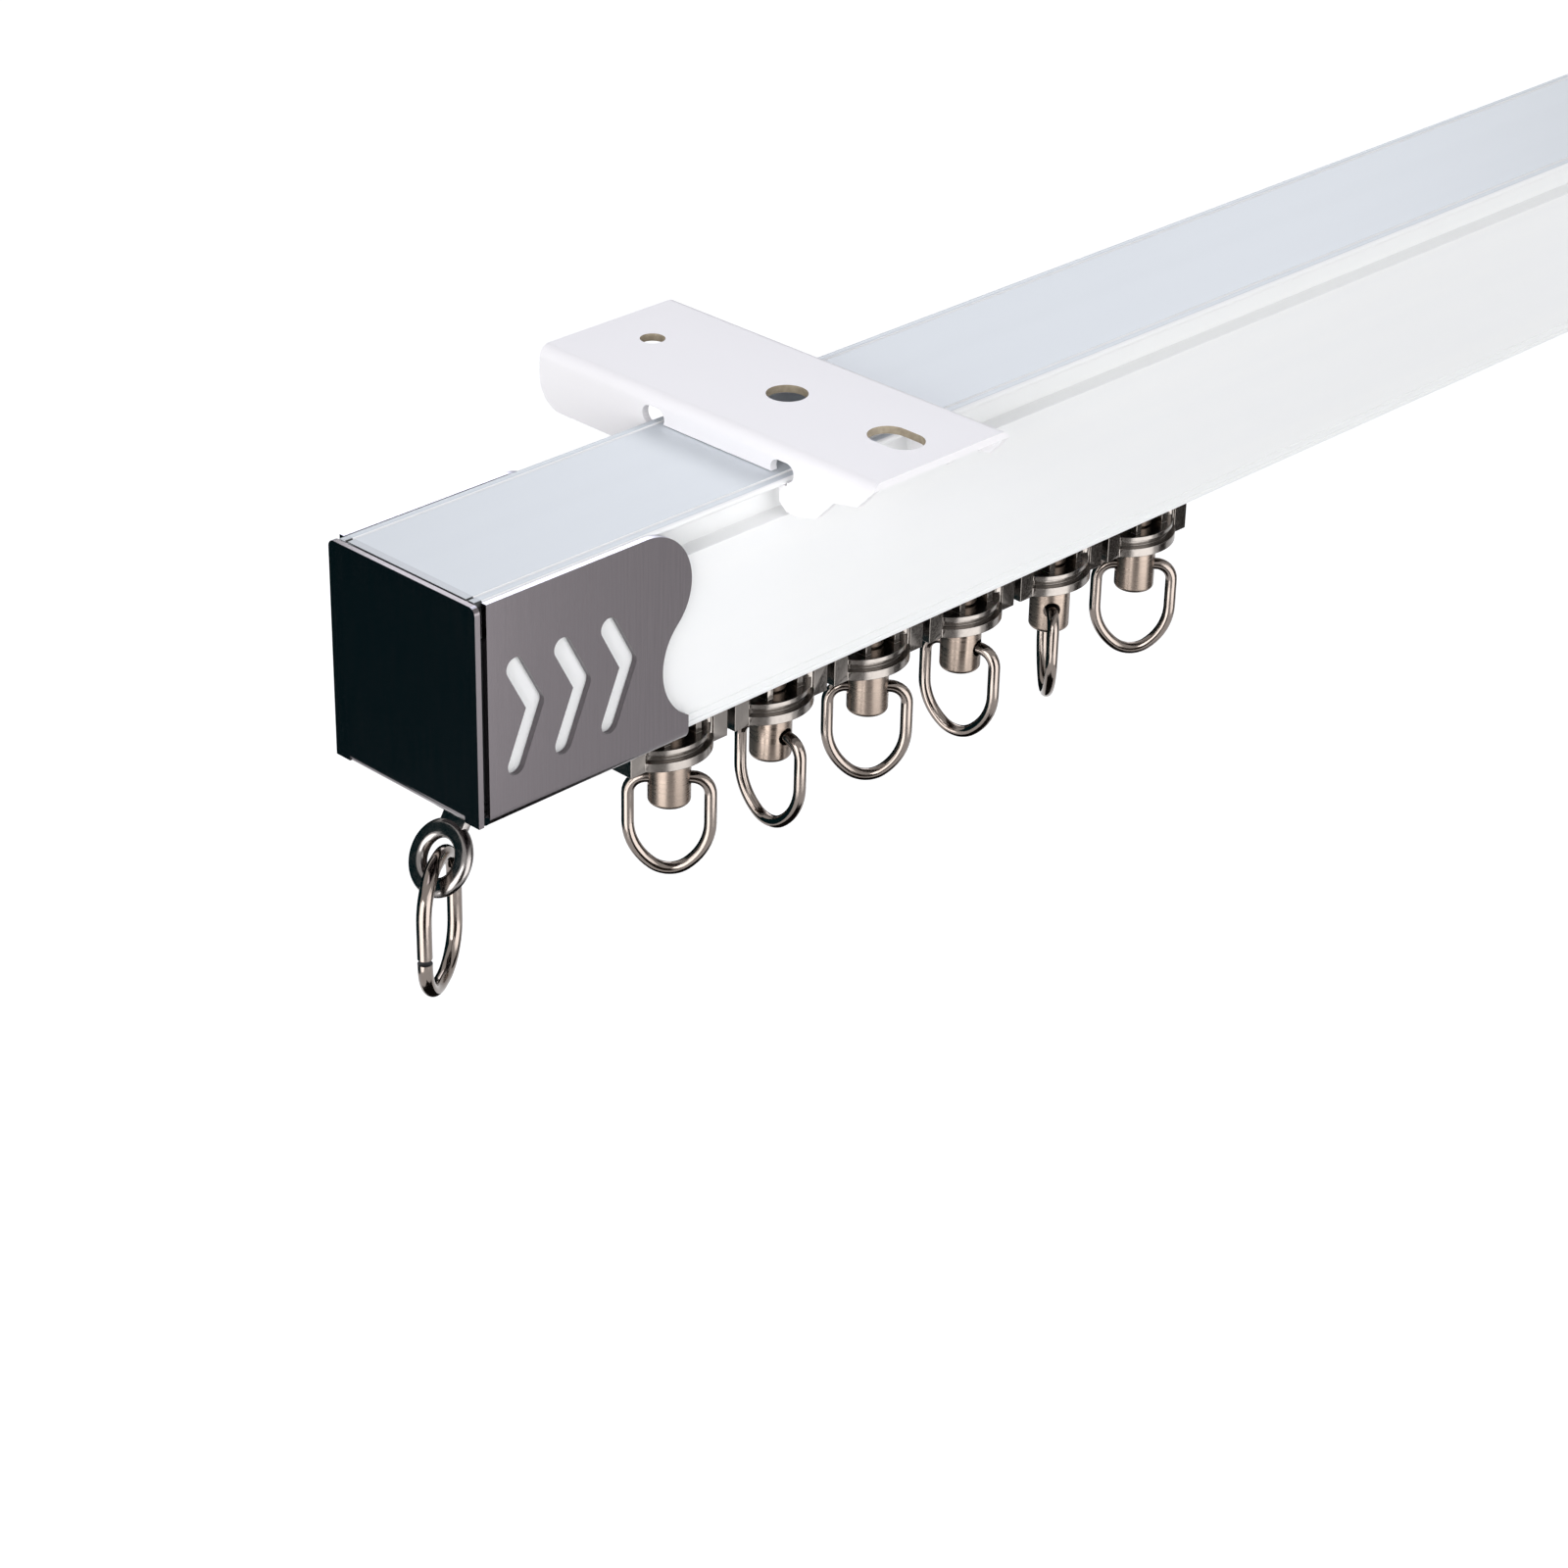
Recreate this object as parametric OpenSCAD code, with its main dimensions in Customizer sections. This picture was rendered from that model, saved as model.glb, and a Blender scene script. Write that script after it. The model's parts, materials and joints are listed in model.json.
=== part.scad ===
// Ceiling curtain track: a slotted rail with folded end caps, hook-on ceiling
// brackets and wheeled runners that carry swivelling D rings.
// The origin is the first bracket's main screw hole, in the ceiling plane.
// +X runs along the track, +Y points away from the room side, +Z is up.

/* [Track] */
// Length over both end caps
track_len = 600; // [480:10:2400]
// Distance from an end cap's face to the bracket beside it
bracket_inset = 80; // [75:1:110]
// Number of runners
runner_count = 6; // [1:1:6]
// Distance between neighbouring runners when they are pushed together
runner_pitch = 23.1; // [23.1:0.1:26]
// Distance from the end cap's face to the first runner
first_runner = 54.6; // [54.6:0.2:70]

/* [Rail] */
// Outside width of the rail
rail_w = 30.5; // [30.5:0.5:36]
// Height of the rail
rail_h = 36.2; // [34:0.2:44]
// Thickness of the side walls and webs
rail_wall = 1.4; // [1:0.1:1.6]
// Thickness of the lips that the wheels run on
lip_t = 2; // [1.6:0.1:3]
// Opening between the two lips
slot_w = 14.5; // [14:0.1:14.8]
// Thickness of the flange along each top edge
flange_t = 1.2; // [1:0.1:1.6]
// Depth of the groove that the brackets hook into
groove_d = 3.2; // [2.8:0.1:3.6]
// Height of that groove
groove_h = 5; // [4.6:0.1:6]
// Width and depth of the fine lines along the rail
line_w = 0.5; // [0.3:0.1:0.7]
// Height of the lower fine line on the side
line_z = 1.6; // [1.4:0.1:1.8]

/* [End cap] */
// Thickness of the folded sheet
cap_t = 1; // [0.8:0.1:1.2]
// Height of the cap
cap_h = 37; // [35:0.1:37]
// Reach of the cheek's round lobe
cheek_len = 43.4; // [42:0.1:43.4]
// Radius of that lobe
lobe_r = 9.4; // [8.5:0.1:10]
// Narrowest reach of the cheek, below the lobe
waist_len = 37.4; // [37:0.1:38.5]
// Height of that waist
waist_z = 13.5; // [12.5:0.1:14.5]
// Length of the cap's floor
floor_len = 42.9; // [41:0.1:43.1]
// Outside radius of the folds
fold_r = 2; // [1.6:0.1:2.4]
// Radius of the end plate's free corners
plate_corner_r = 1.2; // [0.8:0.1:2]
// Open seam between the end plate and a cheek
seam = 1.2; // [0.6:0.1:1.3]
// Height of the end plate's wide part above the cap's underside
plate_low = 0.8; // [0.6:0.1:1.4]
// Clearance between the cap and the rail
cap_gap = 0.1; // [0.05:0.05:0.2]
// Width of a chevron's stroke
chevron_w = 3.4; // [3:0.1:3.8]
// Distance from the cap's face to the first chevron, and between chevrons
chevron_start = 9.5; // [9.1:0.1:9.7]
chevron_pitch = 9.4; // [9.2:0.1:9.6]
// Height of the chevrons' middle above the cap's underside
chevron_z = 17; // [16:0.1:18]
// Height of a chevron between its stroke ends
chevron_h = 16; // [14:0.5:17]
// Depth of a chevron from its ends to its point
chevron_d = 3.9; // [3.4:0.1:4.4]
// Height of a chevron's point above its middle
chevron_rise = 0.8; // [0:0.1:1]
// Width of the slot in the floor
cap_slot_w = 5.6; // [5.6:0.1:6.2]
// Start and end of the slot in the floor
cap_slot_start = 9.4; // [9:0.1:9.6]
cap_slot_end = 34; // [32:0.2:36]

/* [Clamp and end hook] */
// Distance from the cap's face to the clamp screw
screw_x = 22.3; // [22:0.1:25]
// Diameter of the clamp screw's shank
screw_d = 5; // [4:0.1:5.2]
// Diameter of the clamp screw's head
screw_head_d = 9.6; // [9:0.1:11]
// Height of the clamp screw's head
screw_head_h = 3.3; // [2.6:0.1:3.8]
// Length of the clamp plate above the lips
plate_len = 27; // [26:0.5:28]
// Thickness of the clamp plate
plate_t = 2.6; // [2:0.1:3.2]
// Width of the hook's strip
strip_w = 5; // [4:0.1:5.2]
// Thickness of the hook's strip
strip_t = 1.5; // [1.2:0.1:1.8]
// Outside diameter of the hook's eye
eye_d = 12.5; // [11.5:0.1:13]
// Thickness of the eye, which is coined round
eye_t = 2.2; // [1.8:0.1:2.4]
// Hole in the eye
eye_hole_d = 6.2; // [6:0.1:6.6]
// Wire of the end link
link_wire = 2.4; // [2:0.1:2.5]
// Width and height of the end link over its wire
link_w = 18; // [17:0.5:20]
link_h = 24; // [22:0.5:26]
// Split in the end link
link_split = 0.9; // [0.5:0.1:1.2]

/* [Bracket] */
// Thickness of the bracket's sheet
sheet = 1.3; // [1:0.1:1.6]
// Width of the bracket along the track
bracket_w = 31; // [28:0.5:40]
// Reach of the bracket on the room side of the rail's centre
reach_near = 33.4; // [32:0.2:40]
// Reach of the bracket on the wall side of the rail's centre
reach_far = 41; // [38:0.5:60]
// Height of the ceiling face above the rail
bracket_rise = 4.8; // [4.4:0.1:7]
// Drop of the side flanges below the ceiling face
flange_drop = 10.4; // [9.6:0.1:10.8]
// Outside radius of the bracket's folds
bracket_fold_r = 2.2; // [2:0.1:2.8]
// Clearance of the hooks round the rail's top flange
hook_gap = 0.15; // [0.1:0.05:0.25]
// Diameter of the main screw hole
main_hole_d = 6.8; // [5:0.1:8]
// Width of the slotted screw hole, and its length
slot_hole_w = 6.8; // [5:0.1:8]
slot_hole_len = 10; // [9:0.2:12]
// Distance from the main hole to the slotted hole
slot_hole_y = 23.6; // [21:0.2:24]
// Diameter of the pilot hole, and its distance from the main hole
pilot_d = 4.2; // [3:0.1:5]
pilot_y = 30.7; // [28:0.1:31]

/* [Runner] */
// Diameter of a load wheel
wheel_d = 11.5; // [10:0.1:12.5]
// Width of a load wheel
wheel_w = 4.8; // [4:0.1:5]
// Diameter of the wheel axle
axle_d = 3; // [2.6:0.1:3.4]
// Thickness of the riveted head at each end of the axle
rivet_t = 0.3; // [0.2:0.05:0.4]
// Diameter of a guide roller
roller_d = 6.5; // [6:0.1:6.6]
// Length of a guide roller
roller_h = 9.7; // [9:0.1:10]
// Diameter of the stud that a roller turns on
stud_d = 2.6; // [2:0.1:3]
// Distance from a runner's centre to its rollers
roller_x = 7.75; // [7.7:0.05:7.8]
// Length of the runner's base plate
base_len = 21.4; // [21:0.1:22]
// Width of the base plate at its middle
base_w = 12; // [11.4:0.1:13]
// Thickness of the base plate
base_t = 1.6; // [1.4:0.1:1.8]
// Height of the groove above the base plate
groove_gap = 1.2; // [0.8:0.1:1.4]
// Thickness of the rim above that groove
rim_t = 0.8; // [0.7:0.1:1]
// How far the groove and the rim are drawn in from the base plate's bowed sides
groove_in = 1.3; // [1:0.1:1.6]
rim_in = 0.5; // [0.3:0.1:0.8]
// Depth of the base plate's underside below the rail
base_drop = 13.8; // [13.4:0.1:14]
// Length, width and height of the block at each end of the base plate
ear_len = 3.2; // [2.8:0.1:3.6]
ear_w = 4.8; // [4.4:0.1:5.4]
ear_h = 5.2; // [4.6:0.1:5.4]
// Width of the post along the track, and its thickness across the slot
post_w = 8.2; // [7.8:0.1:8.4]
post_t = 6.4; // [5:0.1:7]
// Width of each bar beside the post's windows
bar_w = 1.3; // [1.1:0.1:1.5]
// Diameter of the swivel's barrel
barrel_d = 7.1; // [6.6:0.1:7.4]
// Length of the swivel's barrel
barrel_h = 8.6; // [8.4:0.1:9.4]
// Radius of the barrel's lower edge
barrel_edge = 0.8; // [0.5:0.1:1.2]
// Diameter of the swivel's shaft, above the barrel
pivot_d = 3.6; // [3:0.1:4]
// Hole across the barrel
cross_hole_d = 3; // [2.8:0.1:3.2]
// Distance from the barrel's top to that hole
cross_hole_drop = 4.1; // [3.8:0.1:4.3]
// Wire of the D ring
ring_wire = 2.1; // [1.8:0.1:2.2]
// Width of the D ring over its wire
ring_w = 15.5; // [14.5:0.1:16]
// Radius of the D ring's upper corners
ring_corner_r = 3; // [2.6:0.1:3.2]
// Length of the D ring's straight sides
ring_leg = 5.3; // [4.8:0.1:5.8]
// How far the D ring's bow drops below its sides' curve, in quarters
ring_bow = 1; // [0.9:0.05:1.1]
// How far each runner's D ring is turned from the track's line
ring_turn = [134, 92, 134, 104, 48, 134];

/* [Fits] */
// Radial clearance of a pin that turns in its hole
run_gap = 0.05; // [0.02:0.01:0.09]
// Radial clearance of a pressed or screwed pin
press_gap = 0.02; // [0.01:0.01:0.03]
// Gap between faces that pass or roll on each other
slide_gap = 0.3; // [0.2:0.05:0.35]
// Gap between the axle's riveted heads and the walls of the rail's channel
axle_gap = 0.55; // [0.4:0.05:0.8]
// Gap between the clamp plate and those walls
plate_gap = 1.4; // [0.6:0.1:1.8]

/* [Hidden] */
$fn = 48;
eps = 0.5;
RUNNER_PARTS = ["carriage", "axle", "wheel_near", "wheel_far",
                "roller_left", "roller_right", "swivel", "ring"];

// Heights above the underside of the end cap
rail_z = cap_t;
lip_z = rail_z + lip_t;
rail_top = rail_z + rail_h;
ceiling_z = rail_top + bracket_rise;
ledge_z = rail_top - flange_t - groove_h;
web_z = lip_z + slide_gap + wheel_d + 1.4;
axle_z = lip_z + slide_gap + wheel_d / 2;
base_z = rail_z - base_drop;
base_top = base_z + base_t + groove_gap + rim_t;
channel_w = rail_w - 2 * rail_wall;
neck_w = rail_w - 2 * groove_d;
cap_w = rail_w + 2 * (cap_gap + cap_t);

// Moves a piece from the cap's corner frame to the ceiling hole's frame
module in_frame() {
  translate([-bracket_inset, 0, -ceiling_z]) children();
}

// Repeats a left end piece at the right end
module at_right() {
  translate([track_len, 0, 0]) mirror([1, 0, 0]) children();
}

// Extrudes a section drawn in Y and Z along X
module along_x(len) {
  rotate([90, 0, 90]) linear_extrude(len) children();
}

// Extrudes an outline drawn in X and Z across Y, centred
module across_y(width) {
  translate([0, width / 2, 0]) rotate([90, 0, 0]) linear_extrude(width) children();
}

// A straight stroke with round ends
module stroke(from, to, w) {
  run = to - from;
  translate(from) rotate(atan2(run[1], run[0])) {
    translate([0, -w / 2]) square([norm(run), w]);
    circle(d = w);
    translate([norm(run), 0]) circle(d = w);
  }
}

// The rail's section: running channel below, hollow chamber above. Its lower corners
// are rounded to clear the cap's folds.
module rail_section() {
  flange_r = flange_t / 2;
  foot_r = fold_r - cap_t + cap_gap;
  difference() {
    union() {
      translate([-rail_w / 2, foot_r]) square([rail_w, ledge_z - rail_z - foot_r]);
      translate([foot_r - rail_w / 2, 0]) square([rail_w - 2 * foot_r, foot_r + eps]);
      for (s = [-1, 1]) translate([s * (rail_w / 2 - foot_r), foot_r]) circle(foot_r);
      translate([-neck_w / 2, 0]) square([neck_w, rail_h]);
      translate([-rail_w / 2 + flange_r, rail_h - flange_t]) square([rail_w - flange_t, flange_t]);
      for (s = [-1, 1]) translate([s * (rail_w / 2 - flange_r), rail_h - flange_r]) circle(flange_r);
    }
    translate([-channel_w / 2, lip_t]) square([channel_w, web_z - lip_z]);
    translate([-slot_w / 2, -eps]) square([slot_w, lip_t + 2 * eps]);
    translate([-channel_w / 2, web_z - rail_z + rail_wall])
      square([channel_w, ledge_z - web_z - 2 * rail_wall]);
    translate([-neck_w / 2 + rail_wall, ledge_z - rail_z - rail_wall - eps])
      square([neck_w - 2 * rail_wall, rail_top - ledge_z + eps]);
    for (s = [-1, 1]) {
      for (k = [0, 1]) translate([s * rail_w / 2, line_z + k * 2.6 * line_w])
        square([line_w, line_w], center = true);
      translate([s * (rail_w / 2 - 1.8), rail_h]) square([line_w, line_w], center = true);
    }
  }
}

module rail() {
  start = cap_t + cap_gap;
  color("white") in_frame()
    translate([start, 0, rail_z]) along_x(track_len - 2 * start) rail_section();
}

// One cheek's outline: a lobe above, a waist, and a toe at the floor
module cheek_outline() {
  lobe_x = cheek_len - lobe_r;
  lobe_z = cap_h - lobe_r;
  side = waist_len - lobe_x;
  rise = lobe_z - waist_z;
  waist_r = (side * side + rise * rise - lobe_r * lobe_r) / (2 * (lobe_r - side));
  meet_z = lobe_z - rise * lobe_r / (lobe_r + waist_r);
  start = cap_t + seam;
  difference() {
    union() {
      translate([start, 0]) square([lobe_x - start, cap_h]);
      translate([lobe_x, lobe_z]) circle(lobe_r, $fn = 96);
      translate([start, 0]) square([floor_len - start, meet_z]);
    }
    translate([waist_len + waist_r, waist_z]) circle(waist_r, $fn = 96);
    for (k = [0:2]) translate([chevron_start + k * chevron_pitch, chevron_z]) {
      stroke([-chevron_d / 2, chevron_h / 2], [chevron_d / 2, chevron_rise], chevron_w);
      stroke([-chevron_d / 2, -chevron_h / 2], [chevron_d / 2, chevron_rise], chevron_w);
    }
  }
}

// Floor and cheeks as one folded trough
module trough_section() {
  difference() {
    union() {
      translate([-cap_w / 2, fold_r]) square([cap_w, cap_h - fold_r]);
      translate([-cap_w / 2 + fold_r, 0]) square([cap_w - 2 * fold_r, fold_r + eps]);
      for (s = [-1, 1]) translate([s * (cap_w / 2 - fold_r), fold_r]) circle(fold_r);
    }
    difference() {
      translate([-cap_w / 2 + cap_t, cap_t]) square([cap_w - 2 * cap_t, cap_h]);
      for (s = [-1, 1]) translate([s * (cap_w / 2 - fold_r), fold_r])
        fold_corner(s);
    }
  }
}

// What the inside of a fold leaves in the trough's corner
module fold_corner(s) {
  inner = fold_r - cap_t;
  difference() {
    translate([s > 0 ? 0 : -inner, -inner]) square(inner);
    circle(inner);
  }
}

// The end plate, folded up from the floor
module end_plate() {
  width = cap_w - 2 * (fold_r + seam);
  r = plate_corner_r;
  along_x(cap_t) {
    translate([-cap_w / 2, fold_r + seam]) square([cap_w, cap_h - fold_r - seam - r]);
    translate([r - cap_w / 2, cap_h - r - eps]) square([cap_w - 2 * r, r + eps]);
    for (s = [-1, 1]) translate([s * (cap_w / 2 - r), cap_h - r]) circle(r);
  }
  for (s = [-1, 1]) translate([cap_t / 2, s * (cap_w + width) / 4, (plate_low + fold_r + seam + eps) / 2])
    cube([cap_t, (cap_w - width) / 2, fold_r + seam + eps - plate_low], center = true);
  across_y(width) {
    translate([0, fold_r]) square([cap_t, seam + eps]);
    translate([fold_r, 0]) square([seam + cap_t + eps, cap_t]);
    intersection() {
      translate([fold_r, fold_r]) difference() {
        circle(fold_r);
        circle(fold_r - cap_t);
      }
      square(fold_r);
    }
  }
}

module cap_shape() {
  difference() {
    union() {
      end_plate();
      intersection() {
        translate([cap_t + seam, 0, 0]) along_x(cheek_len) trough_section();
        across_y(cap_w + 1) cheek_outline();
      }
    }
    translate([0, 0, -eps]) linear_extrude(cap_t + 2 * eps)
      stroke([cap_slot_start + cap_slot_w / 2, 0], [cap_slot_end - cap_slot_w / 2, 0], cap_slot_w);
  }
}

module end_cap_left() {
  color("dimgray") in_frame() cap_shape();
}

module end_cap_right() {
  color("dimgray") in_frame() at_right() cap_shape();
}

// Pan-head screw, driven up through the cap's floor into the clamp plate
module screw_shape() {
  edge = 0.8;
  shank_top = lip_z + plate_t + 1.4;
  translate([screw_x, 0, 0]) difference() {
    union() {
      cylinder(d = screw_d, h = shank_top);
      rotate_extrude() {
        translate([0, -screw_head_h + edge]) square([screw_head_d / 2, screw_head_h - edge]);
        translate([0, -screw_head_h]) square([screw_head_d / 2 - edge, edge + eps]);
        translate([screw_head_d / 2 - edge, -screw_head_h + edge]) circle(edge);
      }
    }
    for (a = [0, 90]) rotate(a) translate([0, 0, -screw_head_h])
      cube([screw_head_d * 0.62, 1.5, 3], center = true);
  }
}

module clamp_screws() {
  color("silver") in_frame() {
    screw_shape();
    at_right() screw_shape();
  }
}

// Where the hook's strip bends, in X and Z, and where its eye is
strip_top = [13.9, lip_z + plate_t / 2];
strip_bend = [10.4, -6.4];
eye_at = [6.3, -13.2];

// Clamp plate with the strip bent down from it, and an eye coined round at its end
module hook_shape() {
  tilt = atan2(strip_bend[0] - eye_at[0], strip_bend[1] - eye_at[1]);
  eye_r = (eye_d + eye_hole_d) / 4;
  flat = (eye_d - eye_hole_d) / 4 - eye_t / 2;
  difference() {
    union() {
      translate([10, plate_gap - channel_w / 2, lip_z]) cube([plate_len, channel_w - 2 * plate_gap, plate_t]);
      across_y(strip_w) {
        stroke(strip_top, strip_bend, strip_t);
        stroke(strip_bend, eye_at, strip_t);
      }
    }
    translate([screw_x, 0, 0]) cylinder(d = screw_d + 2 * press_gap, h = lip_z + plate_t + eps);
    translate([eye_at[0], 0, eye_at[1]]) rotate([0, tilt + 90, 0])
      cylinder(r = eye_r, h = 3 * eye_t, center = true);
  }
  translate([eye_at[0], 0, eye_at[1]]) rotate([0, tilt + 90, 0]) rotate_extrude()
    stroke([eye_r - flat, 0], [eye_r + flat, 0], eye_t);
}

module end_hook_left() {
  color("gray") in_frame() hook_shape();
}

module end_hook_right() {
  color("gray") in_frame() at_right() hook_shape();
}

// An arc of round wire in the X and Z plane, about a centre
module wire_arc(centre, r, from, sweep, wire) {
  translate([centre[0], 0, centre[1]]) rotate([90, 0, 0]) rotate(from)
    rotate_extrude(angle = sweep) translate([r, 0]) circle(d = wire);
}

// A straight length of round wire in the X and Z plane
module wire_run(from, to, wire) {
  run = to - from;
  translate([from[0], 0, from[1]]) rotate([0, atan2(run[0], run[1]), 0])
    cylinder(d = wire, h = norm(run));
}

// Split link: four corners and four sides, its top wire's middle at the origin
module link_loop() {
  corner = 7;
  half_w = (link_w - link_wire) / 2;
  drop = link_h - link_wire;
  difference() {
    union() {
      for (s = [0, 1]) mirror([s, 0, 0]) {
        wire_arc([half_w - corner, -corner], corner, 0, 90, link_wire);
        wire_arc([half_w - corner, -drop + corner], corner, 270, 90, link_wire);
        wire_run([half_w, -drop + corner], [half_w, -corner], link_wire);
      }
      for (z = [0, -drop]) wire_run([corner - half_w, z], [half_w - corner, z], link_wire);
    }
    translate([-half_w, 0, -drop * 0.62]) cube([2 * link_wire, 2 * link_wire, link_split], center = true);
  }
}

// The link hangs in the eye, turned from the track's line
link_turn = 32;
link_at = eye_at - [0.6, 0.15];

module link_shape() {
  translate([link_at[0], 0, link_at[1]]) rotate(link_turn) link_loop();
}

module end_link_left() {
  color("silver") in_frame() link_shape();
}

module end_link_right() {
  color("silver") in_frame() at_right() link_shape();
}

// Side view of a bracket flange, in Y and Z: hooks round the rail's top flange
module bracket_outline() {
  low = ceiling_z - flange_drop;
  half = rail_w / 2 + hook_gap;
  tip = rail_w / 2 - groove_d * 0.45;
  corner = 5;
  difference() {
    polygon([[-half + 2, low + 1.6], [-half, low], [-half - 2.6, low], [-half - 6.4, low + 1],
             [-half - 10, low + 4.8], [-reach_near + 3, low + 5.8], [-reach_near, ceiling_z - sheet],
             [-reach_near, ceiling_z], [reach_far, ceiling_z], [reach_far, low], [half, low],
             [half - 2, low + 1.6]]);
    translate([-half, rail_top - flange_t - hook_gap]) square([2 * half, flange_t + 2 * hook_gap]);
    translate([-tip, low - eps]) square([2 * tip, rail_top + hook_gap - low + eps]);
    for (s = [-1, 1]) translate([s * (half - 1.1), rail_top + 0.9]) stroke([-0.9, 0], [0.9, 0], 3.2);
    translate([reach_far - corner, low + corner]) difference() {
      translate([0, -corner - eps]) square(corner + eps);
      circle(corner);
    }
  }
}

// Section of the folded bracket, in X and Z
module bracket_section() {
  inner_r = bracket_fold_r - sheet;
  difference() {
    union() {
      translate([-bracket_w / 2, -flange_drop]) square([bracket_w, flange_drop - bracket_fold_r]);
      translate([-bracket_w / 2 + bracket_fold_r, -bracket_fold_r - eps])
        square([bracket_w - 2 * bracket_fold_r, bracket_fold_r + eps]);
      for (s = [-1, 1]) translate([s * (bracket_w / 2 - bracket_fold_r), -bracket_fold_r])
        circle(bracket_fold_r);
    }
    translate([-bracket_w / 2 + sheet, -flange_drop - eps])
      square([bracket_w - 2 * sheet, flange_drop + eps - bracket_fold_r]);
    translate([-bracket_w / 2 + bracket_fold_r, -bracket_fold_r - 2 * eps])
      square([bracket_w - 2 * bracket_fold_r, inner_r + 2 * eps]);
    for (s = [-1, 1]) translate([s * (bracket_w / 2 - bracket_fold_r), -bracket_fold_r])
      circle(inner_r);
  }
}

module bracket_shape() {
  difference() {
    intersection() {
      translate([0, 0, ceiling_z]) across_y(4 * reach_far) bracket_section();
      translate([-bracket_w, 0, 0]) along_x(2 * bracket_w) bracket_outline();
    }
    translate([0, 0, ceiling_z - 2 * sheet]) linear_extrude(3 * sheet) {
      circle(d = main_hole_d);
      translate([0, pilot_y]) circle(d = pilot_d);
      translate([0, -slot_hole_y]) rotate(90) {
        half = (slot_hole_len - slot_hole_w) / 2;
        stroke([-half, 0], [half, 0], slot_hole_w);
      }
    }
  }
}

module bracket_left() {
  color("white") in_frame() translate([bracket_inset, 0, 0]) bracket_shape();
}

module bracket_right() {
  color("white") in_frame() translate([track_len - bracket_inset, 0, 0]) bracket_shape();
}

// Puts a runner's piece at the runner's place on the rail
module at_runner(k) {
  in_frame() translate([first_runner + (k - 1) * runner_pitch, 0, 0]) children();
}

// Heights on a runner
roller_z = rail_z - 7.2;
stud_base = roller_z - slide_gap;
window_z = rail_z - 1;
window_h = 5;
pocket_h = 2.2;
axle_half = channel_w / 2 - axle_gap - rivet_t;
boss_reach = axle_half - 2 * slide_gap - wheel_w;

// Bowed sides of the base plate, seen from above, or drawn in from them
module bowed_outline(inset) {
  span = base_len / 2 - ear_len;
  bow = (base_w - ear_w) / 2;
  r = (span * span + bow * bow) / (2 * bow);
  intersection() {
    translate([0, r - base_w / 2]) circle(r - inset, $fn = 180);
    translate([0, base_w / 2 - r]) circle(r - inset, $fn = 180);
  }
}

// The post's side view, in X and Z: two bars, a bridge and a round head
module post_outline() {
  difference() {
    union() {
      translate([-post_w / 2, base_top - eps]) square([post_w, axle_z - base_top + eps]);
      translate([0, axle_z]) circle(d = post_w);
    }
    translate([-post_w / 2 + bar_w, window_z]) square([post_w - 2 * bar_w, window_h]);
    translate([-post_w / 2 + bar_w, base_top]) square([post_w - 2 * bar_w, pocket_h]);
    translate([0, axle_z]) circle(d = axle_d + 2 * run_gap);
  }
}

// Cast carriage: base plate with a rim above it, end blocks, post, axle boss and studs
module carriage(k) {
  stud_top = roller_z + roller_h + slide_gap;
  core_h = base_top - base_z - rim_t / 2 - base_t / 2;
  color("lightgray") at_runner(k) difference() {
    union() {
      translate([0, 0, base_z]) linear_extrude(base_t) bowed_outline(0);
      translate([0, 0, base_z + base_t / 2]) linear_extrude(core_h) bowed_outline(groove_in);
      translate([0, 0, base_top - rim_t]) linear_extrude(rim_t) bowed_outline(rim_in);
      for (s = [-1, 1]) translate([s * (base_len - ear_len) / 2, 0, base_z + ear_h / 2])
        cube([ear_len, ear_w, ear_h], center = true);
      across_y(post_t) post_outline();
      for (s = [-1, 1]) translate([0, s * post_t / 2, axle_z]) rotate([-90 * s, 0, 0])
        difference() {
          cylinder(d = axle_d + 2.2, h = boss_reach - post_t / 2);
          translate([0, 0, -eps]) cylinder(d = axle_d + 2 * run_gap, h = boss_reach);
        }
      for (s = [-1, 1]) translate([s * roller_x, 0, 0]) {
        translate([0, 0, base_z + eps]) cylinder(d = stud_d + 1.6, h = stud_base - base_z - eps);
        translate([0, 0, base_top]) cylinder(d = stud_d, h = stud_top - base_top + eps);
        translate([0, 0, stud_top]) cylinder(d = stud_d + 1.4, h = 0.8);
      }
    }
    translate([0, 0, base_z - eps]) cylinder(d = pivot_d + 2 * run_gap, h = base_top - base_z + 2 * eps);
  }
}

// Axle, riveted over outside both wheels
module axle(k) {
  color("silver") at_runner(k) translate([0, 0, axle_z]) rotate([90, 0, 0]) {
    cylinder(d = axle_d, h = 2 * axle_half, center = true);
    for (s = [-1, 1]) translate([0, 0, s * (axle_half + rivet_t / 2)])
      cylinder(d = axle_d + 1.2, h = rivet_t, center = true);
  }
}

// Load wheel: crowned tread, dished face, pressed on the axle
module wheel(k, s) {
  edge = 0.6;
  dish = 0.5;
  color("gainsboro") at_runner(k)
    translate([0, s * (boss_reach + slide_gap + wheel_w / 2), axle_z]) rotate([90, 0, 0])
    rotate_extrude() difference() {
      union() {
        translate([axle_d / 2 + press_gap, -wheel_w / 2])
          square([wheel_d / 2 - edge - axle_d / 2 - press_gap, wheel_w]);
        translate([wheel_d / 2 - edge - eps, -wheel_w / 2 + edge]) square([edge + eps, wheel_w - 2 * edge]);
        for (e = [-1, 1]) translate([wheel_d / 2 - edge, e * (wheel_w / 2 - edge)]) circle(edge);
      }
      for (e = [-1, 1]) translate([axle_d / 2 + 1, e * wheel_w / 2 - dish])
        square([wheel_d / 2 - axle_d / 2 - 2.2, 2 * dish]);
    }
}

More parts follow.
